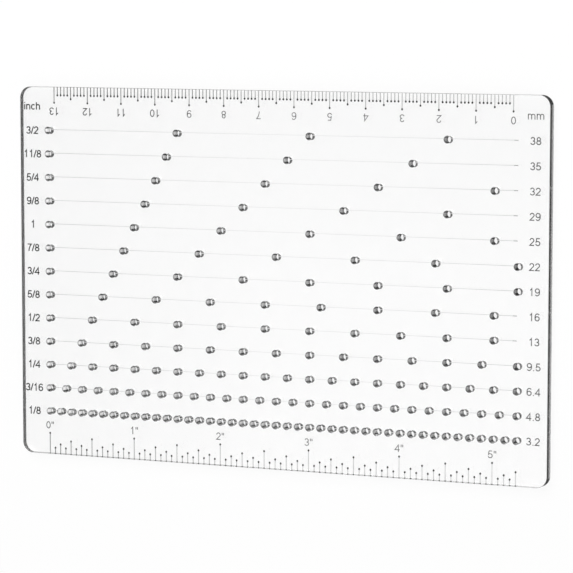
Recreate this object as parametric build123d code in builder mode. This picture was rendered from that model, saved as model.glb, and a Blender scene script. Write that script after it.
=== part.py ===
from build123d import *
import math
import os

os.makedirs("parts", exist_ok=True)

# Hole spacing ruler: one flat plate, laser cut from clear acrylic sheet.
# It lies on its back with the engraved face up. X runs along the scales, Y runs across the
# rows of holes and Z is the thickness. The origin is the middle of the back face.

# Plate
plate_length = 150.0
plate_width = 100.0
plate_thickness = 3.0
corner_radius = 3.0

# Rows of scribing holes, each row with its own spacing in inches, from the top row down
inch = 25.4
row_spacings = (3 / 2, 11 / 8, 5 / 4, 9 / 8, 1, 7 / 8, 3 / 4, 5 / 8, 1 / 2, 3 / 8, 1 / 4, 3 / 16, 1 / 8)
row_span = 5.25
row_gap = 6.375
hole_diameter = 1.8

# A hole's outline has sixteen sides, which keeps 168 holes light. Its corners lie just
# outside the round hole, so that both have the same open area.
hole_sides = 16
side_angle = 2 * math.pi / hole_sides
hole_corner_radius = hole_diameter / 2 * math.sqrt(side_angle / math.sin(side_angle))

# Every row starts on the zero line of the inch scale, and the rows stand centred on the plate
zero_line = -row_span * inch / 2
top_row = row_gap * (len(row_spacings) - 1) / 2

with BuildPart() as ruler_plate:
    with BuildSketch(Plane.XY):
        RectangleRounded(plate_length, plate_width, corner_radius)

        # A row has as many holes as fit in its span
        for row_number, spacing in enumerate(row_spacings):
            hole_count = int(row_span / spacing) + 1
            row_middle = zero_line + (hole_count - 1) * spacing * inch / 2
            with Locations((row_middle, top_row - row_number * row_gap)):
                with GridLocations(spacing * inch, row_gap, hole_count, 1):
                    RegularPolygon(hole_corner_radius, hole_sides, mode=Mode.SUBTRACT)
    extrude(amount=plate_thickness)

ruler_plate.part.label = "ruler_plate"
export_step(ruler_plate.part, "parts/ruler_plate.step")
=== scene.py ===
import math

import bpy
from mathutils import Matrix, Vector
from mathutils.geometry import tessellate_polygon


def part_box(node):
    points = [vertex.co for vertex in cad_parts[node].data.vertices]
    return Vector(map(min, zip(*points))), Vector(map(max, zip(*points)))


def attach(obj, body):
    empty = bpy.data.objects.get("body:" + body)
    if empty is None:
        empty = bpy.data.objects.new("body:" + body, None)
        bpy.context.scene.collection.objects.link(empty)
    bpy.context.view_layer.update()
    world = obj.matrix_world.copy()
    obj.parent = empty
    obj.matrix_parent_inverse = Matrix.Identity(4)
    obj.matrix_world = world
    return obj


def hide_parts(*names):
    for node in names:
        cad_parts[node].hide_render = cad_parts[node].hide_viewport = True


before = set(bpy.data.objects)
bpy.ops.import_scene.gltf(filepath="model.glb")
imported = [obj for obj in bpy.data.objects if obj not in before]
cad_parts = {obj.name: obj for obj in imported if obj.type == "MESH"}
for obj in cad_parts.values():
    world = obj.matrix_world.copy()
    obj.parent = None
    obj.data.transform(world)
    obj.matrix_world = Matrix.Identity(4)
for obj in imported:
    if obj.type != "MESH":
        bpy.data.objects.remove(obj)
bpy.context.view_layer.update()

# Lengths are in metres, so sizes read in millimetres are written as a number of mm
mm = 0.001
inch = 25.4 * mm

# The plate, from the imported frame, and its laser-cut outline
plate_low, plate_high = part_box("ruler_plate")
left_edge, bottom_edge, back_height = plate_low
right_edge, top_edge, face_height = plate_high
corner_radius = 3.0 * mm
edge_ease = 0.08 * mm
corner_steps = 16

# Rows of holes: the spacing engraved on the left in inches and on the right in millimetres
rows = (
    ("3/2", "38", 3 / 2), ("11/8", "35", 11 / 8), ("5/4", "32", 5 / 4), ("9/8", "29", 9 / 8),
    ("1", "25", 1), ("7/8", "22", 7 / 8), ("3/4", "19", 3 / 4), ("5/8", "16", 5 / 8),
    ("1/2", "13", 1 / 2), ("3/8", "9.5", 3 / 8), ("1/4", "6.4", 1 / 4), ("3/16", "4.8", 3 / 16),
    ("1/8", "3.2", 1 / 8),
)
row_gap = 6.375 * mm
row_span = 5.25
top_row = row_gap * (len(rows) - 1) / 2
inch_zero = -row_span * inch / 2

# The beam cuts a hole a little wider where it enters than where it leaves, and leans slightly
hole_sides = 48
hole_radius = 0.9 * mm
hole_taper = 0.09 * mm
beam_lean = 0.1 * mm

# Engraved marks
tick_width = 0.19 * mm
row_line_width = 0.13 * mm
row_line_rise = 0.25 * mm
row_tip_length = 1.1 * mm
inch_tick_lengths = {16: 6 * mm, 8: 5 * mm, 4: 4 * mm, 2: 3 * mm, 1: 2 * mm}
centimetre_zero = right_edge - 9.7 * mm
centimetre_span = 130
centimetre_tick_lengths = {10: 4.5 * mm, 5: 3.5 * mm, 1: 2.5 * mm}
burn_radius = 0.25 * mm
burn_stretch = 1.2
dot_sides = 12
sharpest_mitre = 0.4

# A mark reaches from inside the sheet to just above the face, and a burn a little higher
mark_depth = 0.06 * mm
mark_stand = 0.004 * mm
burn_stand = 0.007 * mm

# Lettering
letter_height = 2.0 * mm
bold_stroke = 0.3 * mm
medium_stroke = 0.24 * mm
fine_stroke = 0.21 * mm
left_label_middle = left_edge + 3.63 * mm
right_label_middle = right_edge - 3.75 * mm
right_label_rise = 0.15 * mm
unit_baseline = top_edge - 6.2 * mm
inch_number_baseline = bottom_edge + 6.95 * mm
centimetre_number_baseline = top_edge - 5.55 * mm

# Camera, fitted to the photograph
photo_width = 573
focal_pixels = 2909
camera_aim = Vector((3.235 * mm, -1.205 * mm, face_height))
camera_distance = 762 * mm
camera_right_angle = math.radians(22.82)
camera_up_angle = math.radians(6.02)
camera_roll = math.radians(0.034)

# Painted shade on the cut walls: greys from the back to the face, darkest at the face
# The right end is pale towards the back, a painted glow
edge_shade_tones = (0.95, 0.95, 0.6, 0.3)
right_end_glow_and_shade_tones = (0.98, 0.9, 0.4, 0.15)
hole_shade_tones = (0.6, 0.62, 0.65, 0.3)

# How solid the long sides and the right end look, from the back to the face
# Where they aren't solid the white floor shows through, a painted light
side_solid = (0.6, 0.4, 0.4, 0.7)
right_end_solid = (0.45, 0.75, 1.0, 1.0)

# How clear the hole walls that face right look, from the back to the face and along the plate
# This is painted light: the white floor shows through them, most near the left edge
hole_painted_light_by_height = (0.45, 0.6, 0.9, 1.0, 0.2)
hole_painted_light_by_place = (1.0, 0.6, 0.56, 0.42, 0.32, 0.22)

# Greys of the engraving, from the left edge to the right
# Their change along the plate is painted light and shade
inch_tick_tones = (0.02, 0.4, 0.54, 0.6, 0.64)
centimetre_tick_tones = (0.0, 0.1, 0.3, 0.4, 0.45)
row_line_tones = (0.5, 0.68, 0.82, 0.77, 0.52)
burn_tones = (0.03, 0.03)
number_tones = (0.015, 0.03, 0.1, 0.16, 0.16, 0.15, 0.06)


def arc(centre_x, centre_y, radius_x, radius_y, start, end, steps=12):
    """Points along an arc of an ellipse, with the angles in degrees."""
    angles = [math.radians(start + (end - start) * step / steps) for step in range(steps + 1)]
    return [(centre_x + radius_x * math.cos(a), centre_y + radius_y * math.sin(a)) for a in angles]


def turned(stroke, width):
    """A stroke turned half round inside a letter of that width."""
    return [(width - x, 1 - y) for x, y in stroke]


def arch(stem_x, width):
    """The arch and the right leg of a small n."""
    half = width / 2
    return arc(stem_x + half, 0.45, half, 0.22, 180, 0) + [(stem_x + width, 0.0)]


# Each letter is its width and the centre lines of its strokes, for a height of 1
digit_width = 0.776
six = arc(0.42, 0.56, 0.305, 0.385, 42, 180) + arc(0.39, 0.32, 0.272, 0.265, 180, 540, 24)
letters = {
    "0": (digit_width, [arc(0.388, 0.5, 0.265, 0.44, 0, 360, 24)]),
    "1": (digit_width, [[(0.2, 0.73), (0.33, 0.82), (0.44, 0.97), (0.44, 0.0)]]),
    "2": (digit_width, [arc(0.385, 0.69, 0.255, 0.25, 175, -25) + [(0.1, 0.06), (0.67, 0.06)]]),
    "3": (digit_width, [
        arc(0.375, 0.715, 0.235, 0.225, 165, -90),
        arc(0.375, 0.285, 0.275, 0.225, 90, -165),
    ]),
    "4": (digit_width, [[(0.53, 0.0), (0.53, 0.93), (0.06, 0.285), (0.71, 0.285)]]),
    "5": (digit_width, [[(0.64, 0.94), (0.23, 0.94)] + arc(0.375, 0.32, 0.28, 0.265, 142, -165)]),
    "6": (digit_width, [six]),
    "7": (digit_width, [[(0.1, 0.94), (0.67, 0.94), (0.47, 0.66), (0.345, 0.33), (0.295, 0.0)]]),
    "8": (digit_width, [
        arc(0.388, 0.725, 0.215, 0.215, 0, 360, 24),
        arc(0.388, 0.285, 0.265, 0.225, 0, 360, 24),
    ]),
    "9": (digit_width, [turned(six, digit_width)]),
    "/": (0.388, [[(0.02, 0.0), (0.37, 1.0)]]),
    ".": (0.388, [[(0.195, 0.0), (0.195, 0.125)]]),
    '"': (0.496, [[(0.14, 0.99), (0.14, 0.66)], [(0.355, 0.99), (0.355, 0.66)]]),
    "i": (0.31, [[(0.155, 0.0), (0.155, 0.72)], [(0.155, 0.87), (0.155, 0.995)]]),
    "n": (digit_width, [[(0.145, 0.0), (0.145, 0.72)], arch(0.145, 0.47)]),
    "c": (0.698, [arc(0.365, 0.36, 0.27, 0.31, 45, 315)]),
    "h": (digit_width, [[(0.145, 0.0), (0.145, 0.99)], arch(0.145, 0.47)]),
    "m": (1.163, [[(0.145, 0.0), (0.145, 0.72)], arch(0.145, 0.435), arch(0.58, 0.435)]),
}


def add_piece(name, vertices, faces, materials):
    """A mesh with these materials that rides with the plate."""
    mesh = bpy.data.meshes.new(name)
    mesh.from_pydata(vertices, [], faces)
    for material in materials:
        mesh.materials.append(material)
    piece = bpy.data.objects.new(name, mesh)
    bpy.context.scene.collection.objects.link(piece)
    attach(piece, "root")
    return piece


class Marks:
    """Flat marks cut into the top face, gathered into one mesh."""

    def __init__(self, stand):
        self.low = face_height - mark_depth
        self.high = face_height + stand
        self.vertices = []
        self.faces = []

    def prism(self, outline):
        """A closed outline, counterclockwise, from the bottom of the cut to the top."""
        first = len(self.vertices)
        count = len(outline)
        self.vertices += [(x, y, self.low) for x, y in outline]
        self.vertices += [(x, y, self.high) for x, y in outline]
        self.faces.append([first + i for i in reversed(range(count))])
        self.faces.append([first + count + i for i in range(count)])
        for i in range(count):
            after = (i + 1) % count
            self.faces.append([first + i, first + after, first + count + after, first + count + i])

    def dot(self, middle, radius, stretch=1.0):
        """A burnt spot, longer along Y by the stretch."""
        rim = arc(0, 0, radius, radius * stretch, 0, 360 - 360 / dot_sides, dot_sides - 1)
        self.prism([(middle[0] + x, middle[1] + y) for x, y in rim])

    def ribbon(self, points, width):
        """A line of that width through the points, with mitred corners. It is closed where its
        ends meet."""
        points = [Vector(point) for point in points]
        closed = (points[0] - points[-1]).length < width / 10
        if closed:
            points.pop()
        count = len(points)
        steps = [(points[(i + 1) % count] - points[i]).normalized() for i in range(count)]
        left, right = [], []
        for i, point in enumerate(points):
            leaving = steps[i] if closed or i < count - 1 else steps[i - 1]
            arriving = steps[i - 1] if closed or i else leaving
            across = (arriving + leaving).normalized().orthogonal()
            reach = across * width / 2 / max(across.dot(leaving.orthogonal()), sharpest_mitre)
            left.append(point + reach)
            right.append(point - reach)
        for i in range(count if closed else count - 1):
            after = (i + 1) % count
            self.prism([right[i], right[after], left[after], left[i]])

    def text(self, words, middle, baseline, stroke_width, upside_down=False):
        """Words centred on middle, which stand on the baseline or, turned round, hang from it."""
        turn = -1 if upside_down else 1
        width = sum(letters[letter][0] for letter in words)
        cursor = -width / 2
        for letter in words:
            letter_width, strokes = letters[letter]
            for stroke in strokes:
                placed = [
                    (middle + turn * (cursor + x) * letter_height, baseline + turn * y * letter_height)
                    for x, y in stroke
                ]
                self.ribbon(placed, stroke_width)
            cursor += letter_width

    def piece(self, name, material):
        """The finished mesh."""
        return add_piece(name, self.vertices, self.faces, [material])


def plate_outline(height, setback):
    """The plate's outline at a height, counterclockwise, that far inside its edge."""
    x = right_edge - corner_radius
    y = top_edge - corner_radius
    lean = beam_lean * (face_height - height) / (face_height - back_height)
    radius = corner_radius - setback
    corners = ((x, y - lean), (-x, y - lean), (-x, -y - lean), (x, -y - lean))
    points = []
    for quarter, (centre_x, centre_y) in enumerate(corners):
        start = 90 * quarter
        points += arc(centre_x, centre_y, radius, radius, start, start + 90, corner_steps)
    return points


def hole_outline(x, y, height, setback):
    """One hole's outline at a height, clockwise, that far outside its wall."""
    rise = (height - back_height) / (face_height - back_height)
    radius = hole_radius + hole_taper * (rise - 0.5) + setback
    return arc(x, y - beam_lean * (1 - rise), radius, radius, 360, 360 / hole_sides, hole_sides - 1)


def hole_middles():
    """The middle of every hole, row by row."""
    for row_number, (_, _, spacing) in enumerate(rows):
        y = top_row - row_number * row_gap
        for step in range(int(row_span / spacing) + 1):
            yield inch_zero + step * spacing * inch, y


def add_plate(polished, edge_cut, side_cut, right_end_cut, hole_cut):
    """The clear plate with round holes, eased rims and cut walls. Its right end and its long
    sides have finishes of their own, and the corners take that of the left end."""
    outlines = [plate_outline]
    for x, y in hole_middles():
        outlines.append(lambda height, setback, x=x, y=y: hole_outline(x, y, height, setback))
    levels = (
        (back_height, edge_ease), (back_height + edge_ease, 0),
        (face_height - edge_ease, 0), (face_height, edge_ease),
    )
    vertices, walls, back_rims, face_rims = [], [], [], []
    for outline in outlines:
        rings = []
        for height, setback in levels:
            points = outline(height, setback)
            rings.append(range(len(vertices), len(vertices) + len(points)))
            vertices += [(x, y, height) for x, y in points]
        for lower, upper in zip(rings, rings[1:]):
            for i in range(len(lower)):
                after = (i + 1) % len(lower)
                walls.append((lower[i], lower[after], upper[after], upper[i]))
        back_rims.append(rings[0])
        face_rims.append(rings[-1])
    edge_walls = (len(levels) - 1) * len(face_rims[0])
    straight = 0.98
    sharp_angle = math.radians(30)
    caps = []
    for rims, reverse in ((face_rims, False), (back_rims, True)):
        order = [vertex for rim in rims for vertex in rim]
        for triangle in tessellate_polygon([[Vector(vertices[i]) for i in rim] for rim in rims]):
            corners = [order[i] for i in triangle]
            caps.append(corners[::-1] if reverse else corners)
    materials = [polished, edge_cut, side_cut, right_end_cut, hole_cut]
    plate = add_piece("clear_plate", vertices, caps + walls, materials)
    for number, polygon in enumerate(plate.data.polygons):
        if number < len(caps):
            continue
        if number >= len(caps) + edge_walls:
            cut = hole_cut
        elif polygon.normal.x > straight:
            cut = right_end_cut
        else:
            cut = side_cut if abs(polygon.normal.y) > straight else edge_cut
        polygon.material_index = materials.index(cut)
    plate.data.shade_smooth()
    plate.data.set_sharp_from_angle(angle=sharp_angle)
    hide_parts("ruler_plate")


def add_node(tree, kind, inputs=None, **properties):
    """A node with the given properties, and with the given numbers or colours on its inputs."""
    node = tree.nodes.new(kind)
    for name, value in properties.items():
        setattr(node, name, value)
    for name, value in (inputs or {}).items():
        node.inputs[name].default_value = value
    return node


def principled(name, **constants):
    """A material whose one shader has these numbers on its own sockets."""
    material = bpy.data.materials.new(name)
    material.use_nodes = True
    shader = material.node_tree.nodes["Principled BSDF"]
    for socket, value in constants.items():
        shader.inputs[socket.replace("_", " ")].default_value = value
    return material, material.node_tree, shader


def position(tree):
    """The place on the object, in metres."""
    return add_node(tree, "ShaderNodeTexCoord").outputs["Object"]


def grain(tree, size, stretch=(1, 1, 1)):
    """Noise between 0 and 1 with grains of about that size, made longer by the stretch."""
    scaling = add_node(tree, "ShaderNodeMapping", {"Scale": [1 / size / share for share in stretch]})
    noise = add_node(tree, "ShaderNodeTexNoise", {"Scale": 1.0, "Detail": 3.0})
    tree.links.new(position(tree), scaling.inputs["Vector"])
    tree.links.new(scaling.outputs["Vector"], noise.inputs["Vector"])
    return noise.outputs["Fac"]


def span(tree, value, low, high):
    """A value between 0 and 1 turned into one between low and high."""
    mapping = add_node(tree, "ShaderNodeMapRange", {"To Min": low, "To Max": high})
    tree.links.new(value, mapping.inputs["Value"])
    return mapping.outputs["Result"]


def tones_along(tree, axis, start, end, tones):
    """Greys spread evenly from start to end along an axis of the plate."""
    axes = add_node(tree, "ShaderNodeSeparateXYZ")
    share = add_node(tree, "ShaderNodeMapRange", {"From Min": start, "From Max": end})
    ramp = add_node(tree, "ShaderNodeValToRGB")
    stops = ramp.color_ramp.elements
    while len(stops) < len(tones):
        stops.new(0.5)
    for number, tone in enumerate(tones):
        stops[number].position = number / (len(tones) - 1)
        stops[number].color = (tone, tone, tone, 1)
    tree.links.new(position(tree), axes.inputs["Vector"])
    tree.links.new(axes.outputs[axis], share.inputs["Value"])
    tree.links.new(share.outputs["Result"], ramp.inputs["Fac"])
    return ramp.outputs["Color"]


def speckled(tree, colour, grains, least, most):
    """The colour made darker or lighter from grain to grain."""
    mix = add_node(tree, "ShaderNodeMix", {"Factor": 1.0}, data_type="RGBA", blend_type="MULTIPLY")
    tree.links.new(colour, mix.inputs["A"])
    tree.links.new(span(tree, grains, least, most), mix.inputs["B"])
    return mix.outputs["Result"]


def roughen(tree, shader, grains, depth):
    """Bumps that follow the grains."""
    bump = add_node(tree, "ShaderNodeBump", {"Strength": 1.0, "Distance": depth})
    tree.links.new(grains, bump.inputs["Height"])
    tree.links.new(bump.outputs["Normal"], shader.inputs["Normal"])


def polished_acrylic():
    """The sheet's own faces: clear and glossy, with the faint waves and haze of cast sheet."""
    material, tree, shader = principled(
        "polished_acrylic", Base_Color=(0.975, 0.975, 0.975, 1), Transmission_Weight=1.0, IOR=1.49,
    )
    haze = grain(tree, 6 * mm)
    tree.links.new(span(tree, haze, 0.0, 0.02), shader.inputs["Roughness"])
    roughen(tree, shader, grain(tree, 18 * mm), 0.002 * mm)
    return material


def laser_cut_acrylic(name, clear_share, tones):
    """A cut wall: fine upright ridges, with greys from the back to the face by the tones, which paint
    shade on it."""
    material, tree, shader = principled(name, Transmission_Weight=clear_share, IOR=1.49)
    ridges = grain(tree, 0.12 * mm, (1, 1, 12))
    colour = tones_along(tree, "Z", back_height, face_height, tones)
    tree.links.new(speckled(tree, colour, ridges, 0.85, 1.1), shader.inputs["Base Color"])
    tree.links.new(span(tree, ridges, 0.02, 0.1), shader.inputs["Roughness"])
    roughen(tree, shader, ridges, 0.004 * mm)
    return material


def see_through(material, solid):
    """Let a wall be seen through where it isn't solid, by the shares from the back to the face.
    The white floor showing through is painted light.
    """
    tree = material.node_tree
    share = tones_along(tree, "Z", back_height, face_height, solid)
    tree.links.new(share, tree.nodes["Principled BSDF"].inputs["Alpha"])


def see_through_rightwards(material, by_height, by_place):
    """Let the part of a wall that faces right be seen through from its open side, by the shares
    from the back to the face and from the left edge to the right. The white floor showing
    through is painted light."""
    tree = material.node_tree
    surface = add_node(tree, "ShaderNodeNewGeometry")
    axes = add_node(tree, "ShaderNodeSeparateXYZ")
    open_side = add_node(tree, "ShaderNodeMath", operation="SUBTRACT")
    barely_right, fully_right = 0.78, 0.97
    facing = add_node(tree, "ShaderNodeMapRange", {"From Min": barely_right, "From Max": fully_right})
    clear = add_node(tree, "ShaderNodeMath", operation="MULTIPLY")
    share = add_node(tree, "ShaderNodeMath", operation="MULTIPLY")
    solid = add_node(tree, "ShaderNodeMath", {0: 1.0}, operation="SUBTRACT")
    for source, target in (
        (surface.outputs["Normal"], axes.inputs["Vector"]),
        (axes.outputs["X"], open_side.inputs[0]),
        (surface.outputs["Backfacing"], open_side.inputs[1]),
        (open_side.outputs[0], facing.inputs["Value"]),
        (tones_along(tree, "Z", back_height, face_height, by_height), clear.inputs[0]),
        (tones_along(tree, "X", left_edge, right_edge, by_place), clear.inputs[1]),
        (facing.outputs["Result"], share.inputs[0]),
        (clear.outputs[0], share.inputs[1]),
        (share.outputs[0], solid.inputs[1]),
        (solid.outputs[0], tree.nodes["Principled BSDF"].inputs["Alpha"]),
    ):
        tree.links.new(source, target)


def engraving(name, tones):
    """A frosted mark with its grey changing from the left edge to the right by the tones, a
    painted light and shade across the plate.
    """
    material, tree, shader = principled(name, Roughness=0.8, Specular_IOR_Level=0.2)
    frost = grain(tree, 0.08 * mm)
    colour = tones_along(tree, "X", left_edge, right_edge, tones)
    tree.links.new(speckled(tree, colour, frost, 0.8, 1.2), shader.inputs["Base Color"])
    roughen(tree, shader, frost, 0.02 * mm)
    return material


def add_camera():
    """The photograph's viewpoint: to the right of the plate's normal and a little above it."""
    towards = Vector((
        math.sin(camera_right_angle) * math.cos(camera_up_angle),
        math.sin(camera_up_angle),
        math.cos(camera_right_angle) * math.cos(camera_up_angle),
    ))
    across = Vector((0, 1, 0)).cross(towards).normalized()
    upwards = towards.cross(across)
    data = bpy.data.cameras.new("photo_camera")
    data.lens = data.sensor_width * focal_pixels / photo_width
    camera = bpy.data.objects.new("photo_camera", data)
    turn = Matrix((across, upwards, towards)).transposed().to_4x4()
    place = Matrix.Translation(camera_aim + towards * camera_distance)
    camera.matrix_world = place @ turn @ Matrix.Rotation(camera_roll, 4, "Z")
    bpy.context.scene.collection.objects.link(camera)
    bpy.context.scene.camera = camera


def add_floor():
    """A white floor that still takes the plate's shadow. Its own light shows directly, through
    the sheet and after an even number of mirrorings in it. After an odd number it shows only
    its paint, which keeps the cut walls as dark as they are in the photograph."""
    glow_share = 0.89
    material = bpy.data.materials.new("white_floor")
    material.use_nodes = True
    tree = material.node_tree
    tree.nodes.clear()
    path = add_node(tree, "ShaderNodeLightPath")
    direct = add_node(tree, "ShaderNodeMath", operation="MAXIMUM")
    seen = add_node(tree, "ShaderNodeMath", operation="MAXIMUM")
    odd = add_node(tree, "ShaderNodeMath", {1: 2.0}, operation="MODULO")
    even = add_node(tree, "ShaderNodeMath", {1: 0.5}, operation="LESS_THAN")
    shown = add_node(tree, "ShaderNodeMath", operation="MULTIPLY")
    strength = add_node(tree, "ShaderNodeMath", {1: glow_share}, operation="MULTIPLY")
    glow = add_node(tree, "ShaderNodeEmission")
    paint = add_node(tree, "ShaderNodeBsdfDiffuse", {"Color": [1 - glow_share] * 3 + [1]})
    both = add_node(tree, "ShaderNodeAddShader")
    output = add_node(tree, "ShaderNodeOutputMaterial")
    for source, target in (
        (path.outputs["Is Camera Ray"], direct.inputs[0]),
        (path.outputs["Is Glossy Ray"], direct.inputs[1]),
        (direct.outputs[0], seen.inputs[0]),
        (path.outputs["Is Transmission Ray"], seen.inputs[1]),
        (path.outputs["Glossy Depth"], odd.inputs[0]),
        (odd.outputs[0], even.inputs[0]),
        (seen.outputs[0], shown.inputs[0]),
        (even.outputs[0], shown.inputs[1]),
        (shown.outputs[0], strength.inputs[0]),
        (strength.outputs[0], glow.inputs["Strength"]),
        (glow.outputs[0], both.inputs[0]),
        (paint.outputs[0], both.inputs[1]),
        (both.outputs[0], output.inputs["Surface"]),
    ):
        tree.links.new(source, target)
    half = 3.0
    drop = -0.02 * mm
    mesh = bpy.data.meshes.new("floor")
    corners = [(-half, -half, drop), (half, -half, drop), (half, half, drop), (-half, half, drop)]
    mesh.from_pydata(corners, [], [(0, 1, 2, 3)])
    mesh.materials.append(material)
    floor = bpy.data.objects.new("floor", mesh)
    bpy.context.scene.collection.objects.link(floor)


def add_world():
    """White light from in front and from the right that fades out to the left and the back, so
    that the face mirrors a grey fall-off. The backdrop seen directly or through the sheet is
    white all round."""
    bright = 1.15
    left_fade = {"From Min": -0.52, "From Max": -0.38}
    back_fade = {"From Min": 0.03, "From Max": -0.12}
    world = bpy.data.worlds.new("studio")
    world.use_nodes = True
    tree = world.node_tree
    direction = add_node(tree, "ShaderNodeTexCoord")
    axes = add_node(tree, "ShaderNodeSeparateXYZ")
    rightwards = add_node(tree, "ShaderNodeMapRange", left_fade, interpolation_type="SMOOTHSTEP")
    forwards = add_node(tree, "ShaderNodeMapRange", back_fade, interpolation_type="SMOOTHSTEP")
    lit = add_node(tree, "ShaderNodeMath", operation="MULTIPLY")
    light = add_node(tree, "ShaderNodeMath", {1: bright}, operation="MULTIPLY")
    path = add_node(tree, "ShaderNodeLightPath")
    backdrop = add_node(tree, "ShaderNodeMath", operation="MAXIMUM")
    strength = add_node(tree, "ShaderNodeMath", operation="MAXIMUM")
    background = tree.nodes["Background"]
    background.inputs["Color"].default_value = (1, 1, 1, 1)
    for source, target in (
        (direction.outputs["Generated"], axes.inputs["Vector"]),
        (axes.outputs["X"], rightwards.inputs["Value"]),
        (axes.outputs["Y"], forwards.inputs["Value"]),
        (rightwards.outputs["Result"], lit.inputs[0]),
        (forwards.outputs["Result"], lit.inputs[1]),
        (lit.outputs[0], light.inputs[0]),
        (light.outputs[0], strength.inputs[0]),
        (path.outputs["Is Camera Ray"], backdrop.inputs[0]),
        (path.outputs["Is Transmission Ray"], backdrop.inputs[1]),
        (backdrop.outputs[0], strength.inputs[1]),
        (strength.outputs[0], background.inputs["Strength"]),
    ):
        tree.links.new(source, target)
    bpy.context.scene.world = world


def add_softbox():
    """A large soft lamp beyond the top edge, about as bright as lit paper, so that it doesn't
    glare where the face mirrors it."""
    light = bpy.data.lights.new("softbox", "AREA")
    light.size = 600 * mm
    light.energy = 4.3
    lamp = bpy.data.objects.new("softbox", light)
    lamp.location = (-60 * mm, 400 * mm, 600 * mm)
    lamp.rotation_euler = (-lamp.location).to_track_quat("-Z", "Y").to_euler()
    bpy.context.scene.collection.objects.link(lamp)


def tick_length(number, lengths):
    """The length of the largest division that a tick stands on."""
    return next(length for step, length in lengths.items() if number % step == 0)


def add_inch_scale(lines, burns, numbers):
    """Sixteenths of an inch along the bottom edge, numbered at each whole inch."""
    for number in range(int(row_span * 16) + 1):
        x = inch_zero + number * inch / 16
        end = bottom_edge + tick_length(number, inch_tick_lengths)
        lines.ribbon([(x, bottom_edge), (x, end)], tick_width)
        burns.dot((x, end - burn_radius), burn_radius, burn_stretch)
        burns.dot((x, bottom_edge + tick_width), tick_width)
        if number % 16 == 0:
            numbers.text(f'{number // 16}"', x, inch_number_baseline, fine_stroke)


def add_centimetre_scale(lines, burns, numbers):
    """Millimetres along the top edge, with the centimetre numbers read from above."""
    for number in range(centimetre_span + 1):
        x = centimetre_zero - number * mm
        end = top_edge - tick_length(number, centimetre_tick_lengths)
        lines.ribbon([(x, top_edge), (x, end)], tick_width)
        burns.dot((x, end + burn_radius), burn_radius, burn_stretch)
        if number % 10 == 0:
            label = str(number // 10)
            stroke_width = medium_stroke if len(label) > 1 else fine_stroke
            numbers.text(label, x, centimetre_number_baseline, stroke_width, upside_down=True)


def add_rows(lines, burns, numbers):
    """Each row's thin line, from hole to hole and on to the end of the span, its two labels and,
    above them all, the unit words. A line that runs on past its last hole has a burnt tip."""
    for row_number, (inches, millimetres, spacing) in enumerate(rows):
        y = top_row - row_number * row_gap
        line_y = y + row_line_rise
        steps = row_span / spacing
        for step in range(math.ceil(steps)):
            start = inch_zero + step * spacing * inch + hole_radius
            end = inch_zero + min(step + 1, steps) * spacing * inch
            if step + 1 <= steps:
                end -= hole_radius
            else:
                burns.ribbon([(end - row_tip_length, line_y), (end, line_y)], row_line_width)
            lines.ribbon([(start, line_y), (end, line_y)], row_line_width)
        label_base = y - letter_height / 2
        numbers.text(inches, left_label_middle, label_base, bold_stroke)
        numbers.text(millimetres, right_label_middle, label_base + right_label_rise, medium_stroke)
    numbers.text("inch", left_label_middle, unit_baseline, bold_stroke)
    numbers.text("mm", right_label_middle, unit_baseline, fine_stroke)


# Cut walls with painted shade, and with painted light where the white floor shows through them
edge_cut = laser_cut_acrylic("laser_cut_edge", 0.85, edge_shade_tones)
side_cut = laser_cut_acrylic("laser_cut_side", 0.85, edge_shade_tones)
right_end_cut = laser_cut_acrylic("laser_cut_right_end", 0.6, right_end_glow_and_shade_tones)
hole_cut = laser_cut_acrylic("laser_cut_hole", 0.9, hole_shade_tones)
see_through(side_cut, side_solid)
see_through(right_end_cut, right_end_solid)
see_through_rightwards(hole_cut, hole_painted_light_by_height, hole_painted_light_by_place)
add_plate(polished_acrylic(), edge_cut, side_cut, right_end_cut, hole_cut)

inch_ticks = Marks(mark_stand)
centimetre_ticks = Marks(mark_stand)
row_lines = Marks(mark_stand)
burns = Marks(burn_stand)
numbers = Marks(mark_stand)
add_inch_scale(inch_ticks, burns, numbers)
add_centimetre_scale(centimetre_ticks, burns, numbers)
add_rows(row_lines, burns, numbers)
inch_ticks.piece("inch_ticks", engraving("frosted_inch_tick", inch_tick_tones))
centimetre_ticks.piece(
    "centimetre_ticks", engraving("frosted_centimetre_tick", centimetre_tick_tones),
)
row_lines.piece("row_lines", engraving("frosted_row_line", row_line_tones))
burns.piece("line_ends", engraving("burnt_line_end", burn_tones))
numbers.piece("numbers", engraving("frosted_number", number_tones))

add_floor()
add_world()
add_softbox()
add_camera()
bpy.context.scene.view_settings.view_transform = "Standard"
